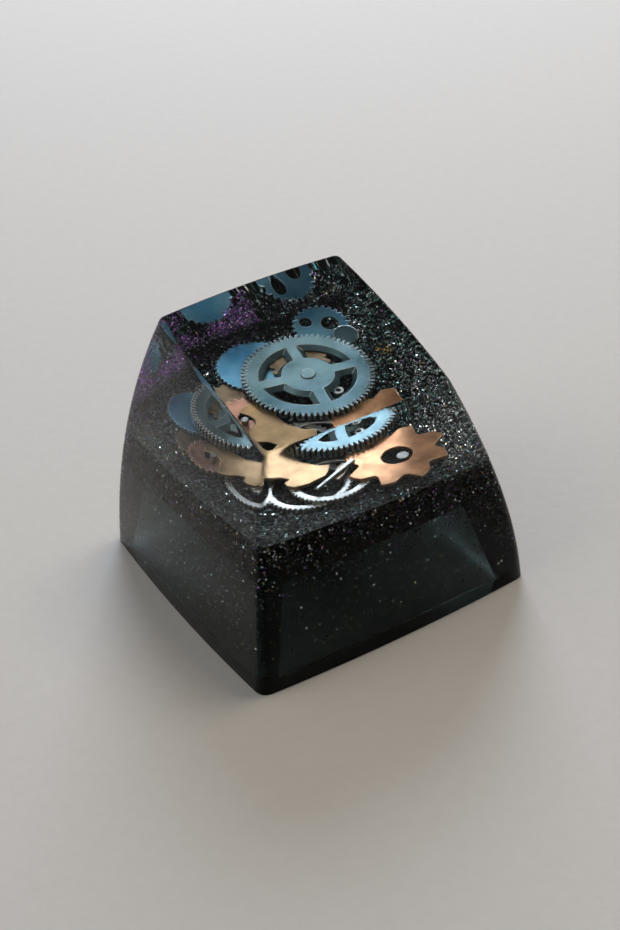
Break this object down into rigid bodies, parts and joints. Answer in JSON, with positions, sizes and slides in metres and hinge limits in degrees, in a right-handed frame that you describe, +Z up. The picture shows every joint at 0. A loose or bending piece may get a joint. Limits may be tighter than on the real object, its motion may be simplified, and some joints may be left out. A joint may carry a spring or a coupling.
{
  "type": "resin keycap",
  "caption": "Tall sculpted keycap cast in resin: loose watch wheels sealed in a clear dome over a smoky black glitter base, with a cross-socket stem underneath.",
  "frame": {"origin": "middle of the bottom rim, on the plane the cap stands on", "axes": "+Z up through the stem, -Y towards the typist, +X to the typist's right"},
  "size_m": [0.0182, 0.0182, 0.0162],
  "materials": {
    "smoky_resin": "polished, with fine glitter",
    "clear_resin": "polished clear casting",
    "wheel_steel": "satin",
    "bright_steel": "polished",
    "blued_steel": "heat blued",
    "rose_gilt": "satin rose gilt",
    "gilt_bronze": "satin gilt",
    "copper": "satin copper",
    "brown_bronze": "dull bronze"
  },
  "bodies": {
    "root": {"glitter_base": "smoky_resin", "clear_dome": "clear_resin", "great_wheel": "wheel_steel", "wheel_arbor": "wheel_steel", "blued_wheel": "blued_steel", "spacer_disc": "wheel_steel", "blued_disc": "blued_steel", "rose_wheel": "rose_gilt", "grey_wheel": "brown_bronze", "bridge_plate": "gilt_bronze", "star_wheel": "copper", "star_pin": "bright_steel", "fine_ring": "bright_steel", "bright_ring": "bright_steel", "under_wheel": "brown_bronze", "hand": "bright_steel", "click_lever": "brown_bronze", "stud": "bright_steel", "jewel_ring": "bright_steel"}
  },
  "joints": []
}
